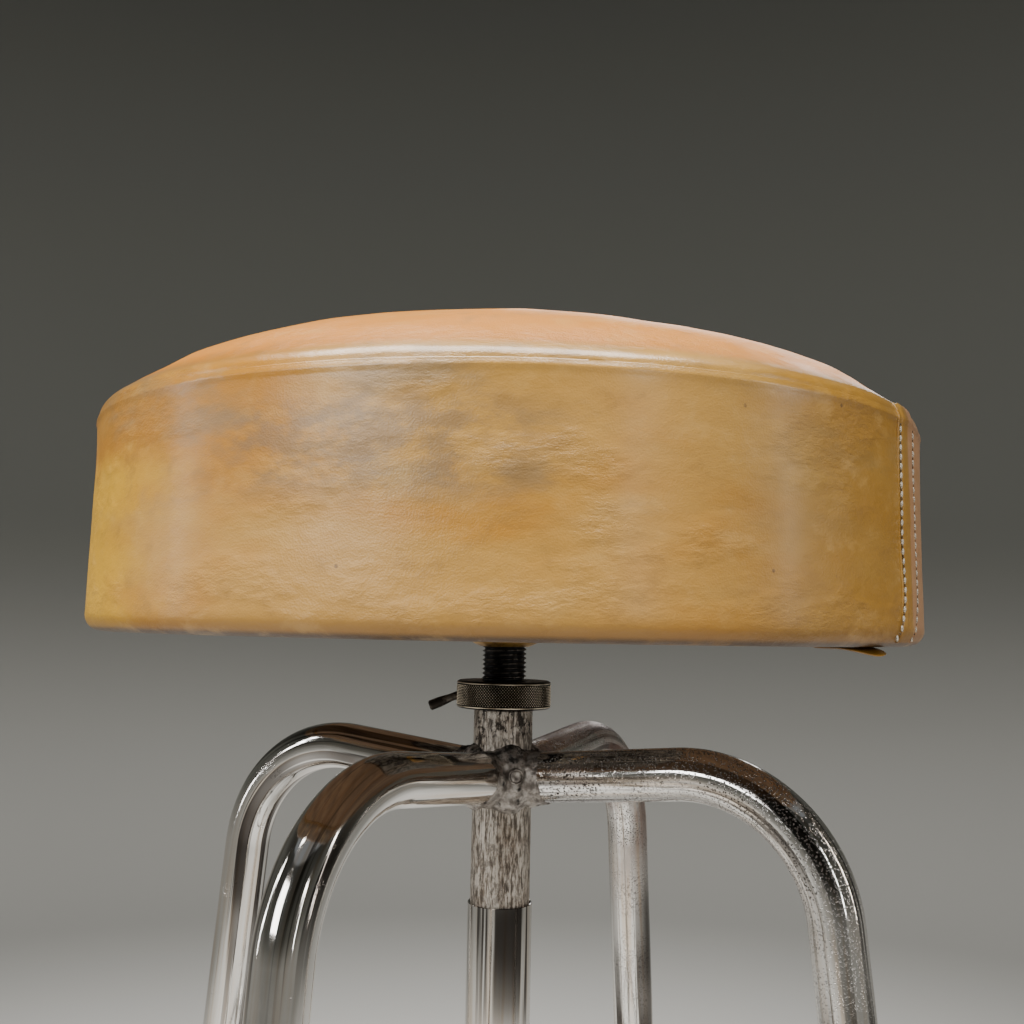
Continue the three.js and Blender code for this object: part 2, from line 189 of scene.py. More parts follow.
def chrome(name, find_place, pitted, rusted, seed=0):
    """Old chrome plate: lengthwise scratches, pits of a tenth of a millimetre to one, brown haze, and painted
    dark reflections in long streaks.
    """
    finish, wire = new_finish(name)
    place = find_place(wire)
    draw_lines = cloud(place, 420, stretch=(1, 1, 0.03), detail=4, shift=seed)
    ripples = cloud(place, 170, stretch=(1, 1, 0.05), detail=3, shift=seed)
    patches = cloud(place, 16, stretch=(1, 1, 0.6), detail=5, roughness=0.62, shift=seed)
    damp = fade(part_of(place, "Z"), 0.22, 0.14)
    haze = fade(patches, 0.64 - 0.22 * rusted, 0.82 - 0.22 * rusted) * damp
    blotches = cloud(place, 55, detail=6, roughness=0.7, shift=seed)
    blotches = fade(blotches, 0.66 - 0.26 * pitted, 0.8 - 0.2 * pitted) * (0.25 + damp * 0.75)
    small_pits = specks(place, 1000, 0.4) * blotches
    large_pits = specks(place, 430, 0.33) * blotches * fade(patches, 0.46, 0.58)
    pits = larger(small_pits, large_pits)
    # Painted reflection: dark lengthwise streaks in the colour stand for dark things mirrored in the plate.
    reflection_streaks = cloud(place, 230, stretch=(1, 1, 0.014), detail=3, roughness=0.6, shift=seed + 4)
    reflection_streaks = fade(reflection_streaks, 0.5, 0.56) * fade(cloud(place, 9, detail=2, shift=seed), 0.3, 0.6)
    shade = mix(fade(draw_lines, 0.42, 0.75), chrome_colour, chrome_tint)
    shade = mix(reflection_streaks * 0.93, shade, dark_reflection_colour)
    shade = mix(haze * 0.75, shade, rust_colour)
    shade = mix(pits, shade, pit_colour)
    bump = relief(ripples, 0.00034)
    bump = relief(draw_lines, 0.00002, bump)
    bump = relief(1 - pits, 0.00012, bump)
    lacquer(wire, {
        "Base Color": shade,
        "Metallic": 1 - larger(pits * 0.7, haze * 0.45),
        "Roughness": 0.05 + draw_lines * 0.09 + haze * 0.35 + pits * 0.4,
        "Normal": bump,
    })
    return finish


def fit(bm, name, finish, body, slot, *replaced, crease=35):
    """Turns a finished mesh into a piece that rides on a body, with edges sharper than crease left hard."""
    mesh = bpy.data.meshes.new(name)
    bm.to_mesh(mesh)
    bm.free()
    mesh.shade_smooth()
    mesh.set_sharp_from_angle(angle=radians(crease))
    mesh.materials.append(finish)
    piece = bpy.data.objects.new(name, mesh)
    bpy.context.scene.collection.objects.link(piece)
    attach(piece, body)
    if replaced:
        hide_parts(*replaced)
    return piece


def turn_shape(bm, angle, axis):
    """Turns a whole shape about an axis through the origin."""
    bmesh.ops.rotate(bm, verts=bm.verts[:], matrix=Matrix.Rotation(angle, 3, axis))
    return bm


def move_shape(bm, x, y, z):
    bmesh.ops.translate(bm, verts=bm.verts[:], vec=(x, y, z))
    return bm


def tube_end(bm, radius, sides):
    """A ring about the origin, facing up, from which a tube is drawn."""
    straight = bm.verts.layers.float_vector.new("straight")
    bmesh.ops.create_circle(bm, segments=sides, radius=radius)
    for vert in bm.verts:
        vert[straight] = vert.co
    return bm.verts[:] + bm.edges[:]


def draw_on(bm, ring, steps, length, push=(0, 0, 0), turn=0, axis=(0, 1, 0), pivot=(0, 0, 0)):
    """Draws a tube's open end on by a push or by a turn, and marks how far along it is."""
    straight = bm.verts.layers.float_vector["straight"]
    for _ in range(steps):
        ring = bmesh.ops.spin(bm, geom=ring, cent=pivot, axis=axis, dvec=Vector(push) / steps,
                              angle=turn / steps, steps=1)["geom_last"]
        for vert in (part for part in ring if isinstance(part, bmesh.types.BMVert)):
            vert[straight] = vert[straight] + Vector((0, 0, length / steps))
    return ring


def leg_shape():
    """A leg in the plane of X and Z: a run out of the hub, one bend, and a long shank down to the foot."""
    bm = bmesh.new()
    ring = tube_end(bm, leg_radius, 64)
    turn_shape(bm, pi / 2 - leg_rise, "Y")
    move_shape(bm, *run_start)
    run = bend_start - run_start
    shank = (bend_end.z - leg_end_height) / cos(leg_splay)
    ring = draw_on(bm, ring, 6, run.length, push=run)
    ring = draw_on(bm, ring, 32, bend_radius * bend_angle, turn=bend_angle, pivot=bend_pivot)
    draw_on(bm, ring, 16, shank, push=shank * Vector((sin(leg_splay), 0, -cos(leg_splay))))
    bmesh.ops.recalc_face_normals(bm, faces=bm.faces[:])
    return bm


def wall(piece, thickness):
    """Gives a tube or a skin its thickness, inwards."""
    solidify = piece.modifiers.new("wall", "SOLIDIFY")
    solidify.thickness = thickness
    solidify.offset = -1


leg_wear = [(1.1, 1.3), (0.3, 0.2), (0.25, 0.1), (1.25, 0.3)]  # how pitted and how rusted each leg is
for number, (azimuth, (pitted, rusted)) in enumerate(zip(leg_azimuths, leg_wear), 1):
    plate = chrome(f"leg chrome {number}", straight_place, pitted, rusted, seed=number * 3)
    tube = turn_shape(leg_shape(), azimuth, "Z")
    leg = fit(tube, f"leg_tube_{number}", plate, "frame", "chrome", f"leg_{number}")
    wall(leg, leg_wall)


# ---- Hub -------------------------------------------------------------------------------------
# A thick steel tube that the seat's screw runs in. It was never plated: grey and brown, drawn
# lengthwise, with darker flecks near its upper end where the lock ring rubs.

hub_low, hub_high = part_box("hub")
hub_radius = hub_high.x
hub_bore = 0.0102
hub_chamfer = 0.0006

steel_light = "d3cbc0"
steel_mid = "8a8075"
steel_dark = "2f2720"


def turned(outline, sides, closed=True):
    """A piece turned on a lathe: its outline of radius and height, taken once round the stool's middle."""
    bm = bmesh.new()
    points = [bm.verts.new((radius, 0, height)) for radius, height in outline]
    for first, second in zip(points, points[1:]):
        bm.edges.new((first, second))
    if closed:
        bm.edges.new((points[-1], points[0]))
    bmesh.ops.spin(bm, geom=bm.verts[:] + bm.edges[:], cent=(0, 0, 0), axis=(0, 0, 1), angle=2 * pi,
                   steps=sides, use_merge=True)
    bmesh.ops.remove_doubles(bm, verts=bm.verts[:], dist=1e-6)
    bmesh.ops.recalc_face_normals(bm, faces=bm.faces[:])
    return bm


def arc(centre, radius, start, end, steps):
    """Points on a round corner of an outline, from one angle to another in degrees."""
    angles = [radians(start + (end - start) * step / steps) for step in range(steps + 1)]
    return [(centre[0] + radius * cos(angle), centre[1] + radius * sin(angle)) for angle in angles]


def bare_steel(name, flecks_from, flecks_to):
    """Unplated steel: vertical grey and brown streaks, with dark flecks between two heights."""
    finish, wire = new_finish(name)
    place = object_place(wire)
    height = part_of(place, "Z")
    streaks = cloud(place, 900, stretch=(1, 1, 0.16), detail=6, roughness=0.72)
    broad = cloud(place, 90, stretch=(1, 1, 0.4), detail=5)
    flecks = fade(cloud(place, 380, stretch=(1, 1, 0.6), detail=6, roughness=0.72), 0.5, 0.57)
    near_top = fade(height, flecks_from, flecks_to) * 0.55 + 0.45
    flecks = flecks * near_top * fade(broad, 0.4, 0.52)
    shade = mix(fade(streaks, 0.44, 0.58), steel_mid, steel_light)
    shade = mix(fade(broad, 0.45, 0.7) * 0.4, shade, "7b6248")
    shade = mix(fade(streaks, 0.49, 0.4) * 0.6, shade, steel_dark)
    shade = mix(flecks, shade, steel_dark)
    bump = relief(streaks, 0.00014)
    bump = relief(1 - flecks, 0.00012, bump)
    lacquer(wire, {
        "Base Color": shade,
        "Metallic": 0.82 - flecks * 0.5,
        "Roughness": 0.4 + streaks * 0.2 + flecks * 0.2,
        "Normal": bump,
    })
    return finish


hub_outline = [
    (hub_bore, hub_low.z),
    (hub_radius - hub_chamfer, hub_low.z),
    (hub_radius, hub_low.z + hub_chamfer),
    (hub_radius, hub_high.z - hub_chamfer),
    (hub_radius - hub_chamfer, hub_high.z),
    (hub_bore, hub_high.z),
]
hub_steel = bare_steel("hub steel", hub_high.z - 0.032, hub_high.z - 0.012)
fit(turned(hub_outline, 96), "hub_tube", hub_steel, "frame", "bare_steel", "hub")


# ---- Welds -----------------------------------------------------------------------------------
# A run of weld fills each corner between two legs and laps round their roots. It is lumpy grey
# metal with burnt flux in its hollows. The front one has a small round plug pressed into it.

weld_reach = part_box("weld_1")[1].x
weld_middle = hub_radius - 0.0033
weld_half_width = leg_radius + 0.0016
weld_half_height = leg_radius + 0.0046
weld_voxel = 0.0005
collar_root_lap = 0.00176  # how far the weld stands off a leg at the hub
collar_tip_lap = 0.00016
collar_end = 0.0235  # from the hub's middle
collar_lift = 0.0003
weld_height = leg_height + weld_middle * tan(leg_rise)
plug_low, plug_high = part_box("hub_plug")
plug_radius = (plug_high.x - plug_low.x) / 2
plug_depth = 0.0024
plug_proud = 0.0009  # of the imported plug, because the weld is lumpy


def bake(piece):
    """Applies a piece's modifiers."""
    graph = bpy.context.evaluated_depsgraph_get()
    mesh = bpy.data.meshes.new_from_object(piece.evaluated_get(graph), depsgraph=graph)
    piece.modifiers.clear()
    old = piece.data
    piece.data = mesh
    bpy.data.meshes.remove(old)


def remeshed(piece, voxel):
    """Remeshes a piece into even squares and fuses what overlaps in it."""
    remesh = piece.modifiers.new("remesh", "REMESH")
    remesh.mode = "VOXEL"
    remesh.voxel_size = voxel
    bake(piece)


def weld_metal():
    finish, wire = new_finish("weld metal")
    place = object_place(wire)
    lumps = cloud(place, 260, detail=4, roughness=0.55)
    fine = cloud(place, 900, detail=4, roughness=0.6)
    height = part_of(place, "Z")
    burnt_top = fade(height, weld_height + 0.007, weld_height + 0.013)
    burnt = fade(cloud(place, 150, detail=5, roughness=0.7) + burnt_top * 0.14, 0.56, 0.68)
    shade = mix(fade(lumps, 0.35, 0.65), "6f6862", "b3ada6")
    shade = mix(fade(fine, 0.55, 0.7) * 0.6, shade, "54463a")
    shade = mix(burnt, shade, "15110e")
    bump = relief(lumps, 0.0003)
    bump = relief(fine, 0.00009, bump)
    lacquer(wire, {
        "Base Color": shade,
        "Metallic": 0.9 - burnt * 0.7,
        "Roughness": 0.42 + fine * 0.2 + burnt * 0.2,
        "Normal": bump,
    })
    return finish


def weld_shape():
    """One corner's weld about +X: a bead down the corner and a collar round each of the two leg roots."""
    bm = bmesh.new()
    bead = bmesh.ops.create_icosphere(bm, subdivisions=4, radius=1)["verts"]
    bmesh.ops.scale(bm, verts=bead, vec=(weld_reach - weld_middle, weld_half_width, weld_half_height))
    bmesh.ops.translate(bm, verts=bead, vec=(weld_middle, 0, weld_height))
    for side in (-1, 1):
        collar = bmesh.ops.create_cone(bm, cap_ends=True, segments=48, depth=collar_end - leg_root,
                                       radius1=leg_radius + collar_root_lap,
                                       radius2=leg_radius + collar_tip_lap)["verts"]
        bmesh.ops.rotate(bm, verts=collar, matrix=Matrix.Rotation(pi / 2 - leg_rise, 3, "Y"))
        bmesh.ops.translate(bm, verts=collar, vec=((collar_end + leg_root) / 2, 0, weld_height + collar_lift))
        bmesh.ops.rotate(bm, verts=collar, matrix=Matrix.Rotation(side * pi / 4, 3, "Z"))
    return bm


def lump(piece, seed, size, depth):
    """Moves a piece's points along their normals by soft noise."""
    points = piece.data.vertices
    moves = [vert.normal * noise.noise(vert.co / size + Vector((seed, 0, 0))) * depth for vert in points]
    for vert, move in zip(points, moves):
        vert.co = vert.co + move


weld_finish = weld_metal()
for number in range(1, 5):
    azimuth = radians(90 * (number - 1))
    weld = fit(weld_shape(), f"weld_bead_{number}", weld_finish, "frame", "weld", f"weld_{number}",
               crease=180)
    remeshed(weld, weld_voxel)
    lump(weld, number * 7.3, 0.0042, 0.0008)
    lump(weld, number * 3.1, 0.0014, 0.0004)
    smooth = weld.modifiers.new("melt", "SMOOTH")
    smooth.factor = 0.5
    smooth.iterations = 9
    bake(weld)
    weld.data.transform(Matrix.Rotation(azimuth, 4, "Z"))
    weld.data.shade_smooth()

plug_outline = [
    (0.0, -0.0007),
    (plug_radius * 0.22, -0.0005),
    (plug_radius * 0.34, 0.0001),
    (plug_radius * 0.62, 0.0001),
    (plug_radius * 0.74, -0.0004),
    (plug_radius * 0.86, 0.0001),
    (plug_radius, -0.0002),
    (plug_radius, -plug_depth),
    (0.0, -plug_depth),
]
plug = turn_shape(turned(plug_outline, 48), pi / 2, "X")
move_shape(plug, 0, plug_low.y - plug_proud, (plug_low.z + plug_high.z) / 2)
fit(plug, "weld_plug", weld_finish, "frame", "weld", "hub_plug", crease=60)


# ---- Column sleeve ---------------------------------------------------------------------------
# A thin chromed tube pushed up over the lower half of the hub, with a crisp upper rim. It hides
# the screw below the hub and is open underneath.

sleeve_low, sleeve_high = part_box("column_sleeve")
sleeve_radius = sleeve_high.x
sleeve_bore = sleeve_radius - 0.0007
sleeve_chamfer = 0.00015

sleeve_outline = [
    (sleeve_bore, sleeve_low.z),
    (sleeve_radius, sleeve_low.z),
    (sleeve_radius, sleeve_high.z - sleeve_chamfer),
    (sleeve_radius - sleeve_chamfer, sleeve_high.z),
    (sleeve_bore, sleeve_high.z),
]
sleeve_chrome = chrome("sleeve chrome", object_place, 0.1, 0.05, seed=9)
fit(turned(sleeve_outline, 96), "sleeve_tube", sleeve_chrome, "frame", "chrome", "column_sleeve")


# ---- Footrest ring ---------------------------------------------------------------------------
# A chromed tube rolled into a ring inside the legs, its two ends butt-welded at the back, and
# held to each leg by a slotted screw from outside. Shoes have dulled its upper side.

footrest_low, footrest_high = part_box("footrest_ring")
footrest_tube = (footrest_high.z - footrest_low.z) / 2
footrest_radius = footrest_high.x - footrest_tube
footrest_height = (footrest_high.z + footrest_low.z) / 2
footrest_steps = 192
joint_azimuth = radians(90)
screw_head_radius = 0.005
screw_head_height = 0.003
screw_shank_radius = 0.0025
screw_length = 0.024
slot_width = 0.0012
slot_depth = 0.0013


def worn_chrome():
    finish, wire = new_finish("footrest chrome")
    place = straight_place(wire)
    upper = part_of(object_place(wire), "Z") - footrest_height
    scuffs = cloud(place, 500, stretch=(0.35, 0.35, 1), detail=6, roughness=0.7)
    wear = fade(upper, 0.002, 0.0075) * fade(cloud(place, 22, detail=5), 0.36, 0.6)
    pits = specks(place, 1100, 0.3) * fade(cloud(place, 40, detail=4), 0.52, 0.64)
    shade = mix(wear * 0.8, chrome_colour, "8f8880")
    shade = mix(fade(scuffs, 0.56, 0.7) * wear, shade, "5a4a3c")
    shade = mix(pits, shade, pit_colour)
    bump = relief(cloud(place, 150, stretch=(1, 1, 0.08)), 0.00015)
    bump = relief(scuffs * wear, 0.00008, bump)
    lacquer(wire, {
        "Base Color": shade,
        "Metallic": 1 - pits * 0.7,
        "Roughness": 0.07 + wear * 0.3 + scuffs * wear * 0.25 + pits * 0.4,
        "Normal": bump,
    })
    return finish


bm = bmesh.new()
ring = tube_end(bm, footrest_tube, 40)
turn_shape(bm, pi / 2, "X")
move_shape(bm, footrest_radius, 0, 0)
draw_on(bm, ring, footrest_steps, 2 * pi * footrest_radius, turn=2 * pi, axis=(0, 0, 1))
bmesh.ops.remove_doubles(bm, verts=bm.verts[:], dist=1e-6)
move_shape(bm, 0, 0, footrest_height)
bmesh.ops.recalc_face_normals(bm, faces=bm.faces[:])
turn_shape(bm, joint_azimuth, "Z")
fit(bm, "footrest_tube", worn_chrome(), "frame", "chrome", "footrest_ring")

bead = turned(arc((footrest_tube, 0), 0.0009, -90, 90, 8), 48, closed=False)
move_shape(turn_shape(bead, pi / 2, "Y"), 0, footrest_radius, footrest_height)
joint = fit(bead, "footrest_joint", weld_finish, "frame", "weld", crease=180)
lump(joint, 5, 0.002, 0.0004)

dark_colour = "35302b"
dark_rubbed = "7d756b"


def dark_steel(name, rub=0.5):
    """Blackened steel, rubbed brighter on its high spots and fouled with dark grease in patches."""
    finish, wire = new_finish(name)
    place = object_place(wire)
    fine = cloud(place, 900, detail=5, roughness=0.65)
    broad = cloud(place, 160, detail=4)
    rubbed = fade(broad + fine * 0.4, 0.72 - rub * 0.1, 0.86 - rub * 0.1)
    shade = mix(rubbed * 0.8, dark_colour, dark_rubbed)
    shade = mix(fade(fine, 0.56, 0.68) * 0.6, shade, "171310")
    lacquer(wire, {
        "Base Color": shade,
        "Metallic": 0.9,
        "Roughness": 0.36 + fine * 0.2 - rubbed * 0.08,
        "Normal": relief(fine, 0.00006),
    })
    return finish


def slotted_head(radius, height, shank, shank_length):
    """A cheese-head screw with its head up, about Z, the head's seat at 0."""
    bevel = radius * 0.16
    outline = [(0, -shank_length), (shank, -shank_length), (shank, 0), (radius, 0)]
    outline += arc((radius - bevel, height - bevel), bevel, 0, 70, 4)
    outline += [(radius * 0.45, height * 1.04), (0, height * 1.06)]
    bm = turned(outline, 48, closed=False)
    bmesh.ops.remove_doubles(bm, verts=bm.verts[:], dist=1e-6)
    return bm


def cut_slot(bm, width, depth, top):
    """Presses a slot across a head: cuts along its two sides and sinks the strip between them."""
    for side in (-1, 1):
        for offset in (1, 1.25):
            bmesh.ops.bisect_plane(bm, geom=bm.verts[:] + bm.edges[:] + bm.faces[:],
                                   plane_co=(0, side * width / 2 * offset, 0), plane_no=(0, 1, 0))
    for vert in bm.verts:
        if abs(vert.co.y) < width * 0.51 and vert.co.z > top - depth:
            vert.co.z = top - depth
    return bm


dark_finish = dark_steel("dark steel")
screw_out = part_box("footrest_screw_1")[1].x * sqrt(2) - screw_head_radius
for number, azimuth in enumerate(leg_azimuths, 1):
    screw = slotted_head(screw_head_radius, screw_head_height * 0.94, screw_shank_radius, screw_length)
    cut_slot(screw, slot_width, slot_depth, screw_head_height)
    turn_shape(screw, 0.7 * number, "Z")
    turn_shape(screw, pi / 2, "Y")
    move_shape(screw, screw_out - screw_head_height, 0, footrest_height)
    turn_shape(screw, azimuth, "Z")
    fit(screw, f"footrest_bolt_{number}", dark_finish, "frame", "dark_steel", f"footrest_screw_{number}")


# ---- Feet ------------------------------------------------------------------------------------
# Four moulded rubber cups pushed onto the legs, ribbed for grip and worn flat to the floor. A
# steel washer inside each keeps the tube from cutting through.

foot_wall = 0.0036
foot_outer = leg_radius + 0.0005 + foot_wall
foot_top = 0.0341
foot_ribs = 4
rib_depth = 0.0009
rib_pitch = 0.006
sole = 0.006
foot_radius = bend_end.x + bend_end.z * tan(leg_splay)  # where a leg's middle line meets the floor


def rubber():
    finish, wire = new_finish("foot rubber")
    place = object_place(wire)
    height = part_of(place, "Z")
    grain = cloud(place, 1300, detail=4, roughness=0.7)
    dust = fade(cloud(place, 120, detail=6, roughness=0.7), 0.48, 0.7) * 0.5 + fade(height, 0.012, 0.0) * 0.4
    lacquer(wire, {
        "Base Color": mix(dust, "1b1918", "6d655b"),
        "Roughness": 0.62 + grain * 0.25,
        "Normal": relief(grain, 0.00012),
    })
    return finish


foot_rubber = rubber()
for number, azimuth in enumerate(leg_azimuths, 1):
    outline = [(0, -0.003), (foot_outer + 0.0009, -0.003)]
    for rib in range(foot_ribs):
        base = sole + rib * rib_pitch
        outline += [(foot_outer + rib_depth, base - 0.0012), (foot_outer, base), (foot_outer, base + 0.0024),
                    (foot_outer + rib_depth * (1 - rib / foot_ribs), base + 0.0036)]
    outline += arc((foot_outer - 0.002, foot_top - 0.002), 0.002, 0, 90, 5)
    outline += [(leg_radius + 0.0002, foot_top), (leg_radius + 0.0002, sole), (0, sole)]
    foot = turned(outline, 64, closed=False)
    move_shape(turn_shape(foot, -leg_splay, "Y"), foot_radius, 0, 0)
    cut = bmesh.ops.bisect_plane(foot, geom=foot.verts[:] + foot.edges[:] + foot.faces[:], plane_co=(0, 0, 0),
                                 plane_no=(0, 0, 1), clear_inner=True)["geom_cut"]
    bmesh.ops.edgeloop_fill(foot, edges=[part for part in cut if isinstance(part, bmesh.types.BMEdge)])
    bmesh.ops.recalc_face_normals(foot, faces=foot.faces[:])
    turn_shape(foot, azimuth, "Z")
    fit(foot, f"rubber_foot_{number}", foot_rubber, "frame", "rubber", f"foot_{number}")


def refinish(name, finish):
    """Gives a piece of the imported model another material."""
    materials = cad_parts[name].data.materials
    materials.clear()
    materials.append(finish)


washer_steel = bare_steel("washer steel", 1, 2)
for number in range(1, 5):
    refinish(f"foot_washer_{number}", washer_steel)


# ---- Screw spindle ---------------------------------------------------------------------------
# The seat's steel screw, a 20 mm right-hand thread of 2 mm pitch, black with grease. A washer and
# a nut on its lower end stop the seat from being screwed out. A brass boss seats it in the plate.

spindle_low, spindle_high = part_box("spindle")
spindle_radius = spindle_high.x
thread_pitch = 0.002
thread_depth = 0.0012
crest_flat = 0.12  # shares of the pitch
root_flat = 0.1
thread_sides = 64
thread_turns = int((spindle_high.z - spindle_low.z) / thread_pitch)
boss_low, boss_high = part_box("spindle_boss")
boss_radius = boss_high.x


def from_axis(place):
    """How far a place is from the stool's upright middle line."""
    across = part_of(place, "X")
    along = part_of(place, "Y")
    squared = across * across + along * along
    return squared.maths("SQRT", squared)


def greased_steel():
    finish, wire = new_finish("greased thread")
    place = object_place(wire)
    grease = cloud(place, 320, detail=5, roughness=0.7)
    crest = fade(from_axis(place), spindle_radius - 0.00025, spindle_radius - 0.00002)
    shade = mix(crest * fade(grease, 0.62, 0.4), "0d0c0b", "6b655e")
    lacquer(wire, {
        "Base Color": shade,
        "Metallic": 0.55 + crest * 0.35,
        "Roughness": 0.26 + grease * 0.22,
        "Normal": relief(grease, 0.00012),
    })
    return finish


root_radius = spindle_radius - thread_depth
flank = (1 - crest_flat - root_flat) / 2
bm = bmesh.new()
heights = [0, root_flat / 2, root_flat / 2 + flank, root_flat / 2 + flank + crest_flat, 1 - root_flat / 2, 1]
reaches = [root_radius, root_radius, spindle_radius, spindle_radius, root_radius, root_radius]
points = [bm.verts.new((reach, 0, spindle_low.z + height * thread_pitch))
          for reach, height in zip(reaches, heights)]
for first, second in zip(points, points[1:]):
    bm.edges.new((first, second))
bmesh.ops.spin(bm, geom=bm.verts[:] + bm.edges[:], cent=(0, 0, 0), axis=(0, 0, 1), angle=2 * pi,
               dvec=(0, 0, thread_pitch / thread_sides), steps=thread_sides)
bmesh.ops.recalc_face_normals(bm, faces=bm.faces[:])
thread = fit(bm, "spindle_thread", greased_steel(), "seat", "dark_steel", "spindle", crease=25)
turns = thread.modifiers.new("turns", "ARRAY")
turns.count = thread_turns - 1
turns.use_relative_offset = False
turns.use_constant_offset = True
turns.constant_offset_displace = (0, 0, thread_pitch)
turns.use_merge_vertices = True
turns.merge_threshold = 1e-5

core_radius = root_radius + 0.0002  # it fills the thread's root
core_outline = [
    (0, spindle_low.z),
    (core_radius - 0.0004, spindle_low.z),
    (core_radius + 0.0004, spindle_low.z + 0.0012),
    (core_radius, spindle_low.z + 0.0022),
    (core_radius, spindle_high.z),
    (0, spindle_high.z),
]
fit(turned(core_outline, 64, closed=False), "spindle_core", thread.data.materials[0], "seat", "dark_steel")


def brass():
    finish, wire = new_finish("tarnished brass")
    place = object_place(wire)
    tarnish = cloud(place, 260, detail=5, roughness=0.6)
    fine = cloud(place, 1100, detail=3)
    lacquer(wire, {
        "Base Color": mix(fade(tarnish, 0.42, 0.66), "b98f4a", "6b4c24"),
        "Metallic": 0.85,
        "Roughness": 0.34 + tarnish * 0.2,
        "Normal": relief(fine, 0.00005),
    })
    return finish


boss_bore = spindle_radius + 0.0001
boss_outline = [
    (boss_bore, boss_low.z),
    (boss_radius - 0.0042, boss_low.z),
    (boss_radius - 0.0034, boss_low.z + 0.0003),
    (boss_radius - 0.0012, boss_low.z + 0.0012),
    (boss_radius, boss_low.z + 0.0019),
    (boss_radius, boss_high.z),
    (boss_bore, boss_high.z),
]
fit(turned(boss_outline, 96), "spindle_collar", brass(), "seat", "brass", "spindle_boss", crease=40)

for name in ("stop_washer", "stop_nut"):
    refinish(name, dark_finish)


# ---- Lock ring -------------------------------------------------------------------------------
# A steel ring on the screw, knurled for the hand, that jams down on a fibre washer on the hub to
# stop the seat from turning. A short steel lever is set into its side and droops.

ring_low, ring_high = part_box("lock_ring")
ring_radius = ring_high.x
ring_bore = spindle_radius + 0.0003
ring_bevel = 0.0016
ring_recess = 0.0015
washer_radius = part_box("lock_washer")[1].x + 0.0003
knurl_count = 104
knurl_rows = 7
knurl_depth = 0.00055
knurl_margin = 0.0013  # plain metal above and below the knurling
lever_azimuth = radians(165)
lever_droop = radians(22)
lever_seat = 0.005
lever_length = 0.0185
lever_radius = 0.0018
lever_tip = 0.0023
lever_rise = 0.0072  # its root, over the ring's underside


def bronzed_steel():
    """The lock ring's dark steel, rubbed to a dull bronze on the knurl's points."""
    finish, wire = new_finish("lock ring steel")
    place = object_place(wire)
    fine = cloud(place, 1200, detail=4, roughness=0.6)
    broad = cloud(place, 120, detail=4)
    points = fade(from_axis(place), ring_radius - knurl_depth * 0.62, ring_radius - knurl_depth * 0.2)
    shade = mix(fade(broad + fine * 0.3, 0.5, 0.8), "0f0d0b", "28231e")
    shade = mix(points * fade(broad, 0.2, 0.5), shade, "d8ccb6")
    lacquer(wire, {
        "Base Color": shade,
        "Metallic": 0.9,
        "Roughness": 0.27 + fine * 0.18 - points * 0.05,
        "Normal": relief(fine, 0.00005),
    })
    return finish


ring_steel = bronzed_steel()
knurl_base = ring_radius - knurl_depth
ring_outline = [(ring_bore, ring_low.z + ring_recess), (washer_radius, ring_low.z + ring_recess)]
ring_outline += [(washer_radius, ring_low.z)]
ring_outline += arc((ring_radius - ring_bevel, ring_low.z + ring_bevel), ring_bevel, -90, -20, 6)
ring_outline += [(knurl_base, ring_low.z + ring_bevel), (knurl_base, ring_high.z - ring_bevel)]
ring_outline += arc((ring_radius - ring_bevel, ring_high.z - ring_bevel), ring_bevel, 20, 90, 6)
ring_outline += [(ring_bore + 0.0008, ring_high.z), (ring_bore, ring_high.z - 0.0008)]
lock_ring = turned(ring_outline, 128)
knurl_height = (ring_high.z - ring_low.z - 2 * knurl_margin) / knurl_rows
knurl_width = 2 * pi * ring_radius / knurl_count
diamonds = bmesh.new()
for half in range(2 * knurl_rows - 1):
    tooth = bmesh.ops.create_cone(diamonds, segments=4, radius1=0.5, radius2=0, depth=1)["verts"]
    bmesh.ops.rotate(diamonds, verts=tooth, matrix=Matrix.Rotation(pi / 2, 3, "Y"))
    bmesh.ops.scale(diamonds, verts=tooth, vec=(knurl_depth, knurl_width, knurl_height))
    lift = ring_low.z + knurl_margin + knurl_height * (half + 1) / 2
    bmesh.ops.translate(diamonds, verts=tooth, vec=(knurl_base + knurl_depth / 2, 0, lift))
    turn = Matrix.Rotation(pi / knurl_count * (half % 2), 3, "Z")
    bmesh.ops.rotate(diamonds, verts=tooth, cent=(0, 0, 0), matrix=turn)
bmesh.ops.spin(diamonds, geom=diamonds.verts[:] + diamonds.edges[:] + diamonds.faces[:], cent=(0, 0, 0),
               axis=(0, 0, 1), angle=2 * pi, steps=knurl_count, use_duplicate=True)
fit(lock_ring, "lock_collar", ring_steel, "lock", "dark_steel", "lock_ring", crease=40)
fit(diamonds, "lock_knurl", ring_steel, "lock", "dark_steel", crease=20)

lever_outline = [(0, 0), (lever_radius, 0), (lever_radius, lever_length * 0.45)]
lever_outline += [(lever_tip, lever_length * 0.72), (lever_tip, lever_length - 0.0006)]
lever_outline += [(lever_tip - 0.0006, lever_length), (0, lever_length)]
lever = turned(lever_outline, 32, closed=False)
turn_shape(lever, pi / 2 + lever_droop, "Y")
move_shape(lever, ring_radius - lever_seat, 0, ring_low.z + lever_rise)
turn_shape(lever, lever_azimuth, "Z")
fit(lever, "lock_handle", dark_finish, "lock", "dark_steel", "lock_lever", crease=40)


def fibre():
    finish, wire = new_finish("washer fibre")
    place = object_place(wire)
    strands = cloud(place, 700, stretch=(1, 1, 4), detail=6, roughness=0.7)
    lacquer(wire, {
        "Base Color": mix(fade(strands, 0.4, 0.65), "4a2d22", "7a5138"),
        "Roughness": 0.75 + strands * 0.15,
        "Normal": relief(strands, 0.00008),
    })
    return finish


refinish("lock_washer", fibre())


# ---- Seat board and plate --------------------------------------------------------------------
# A round of plywood carries the padding. A blackened steel plate is screwed under it with four
# slotted wood screws and takes the spindle.

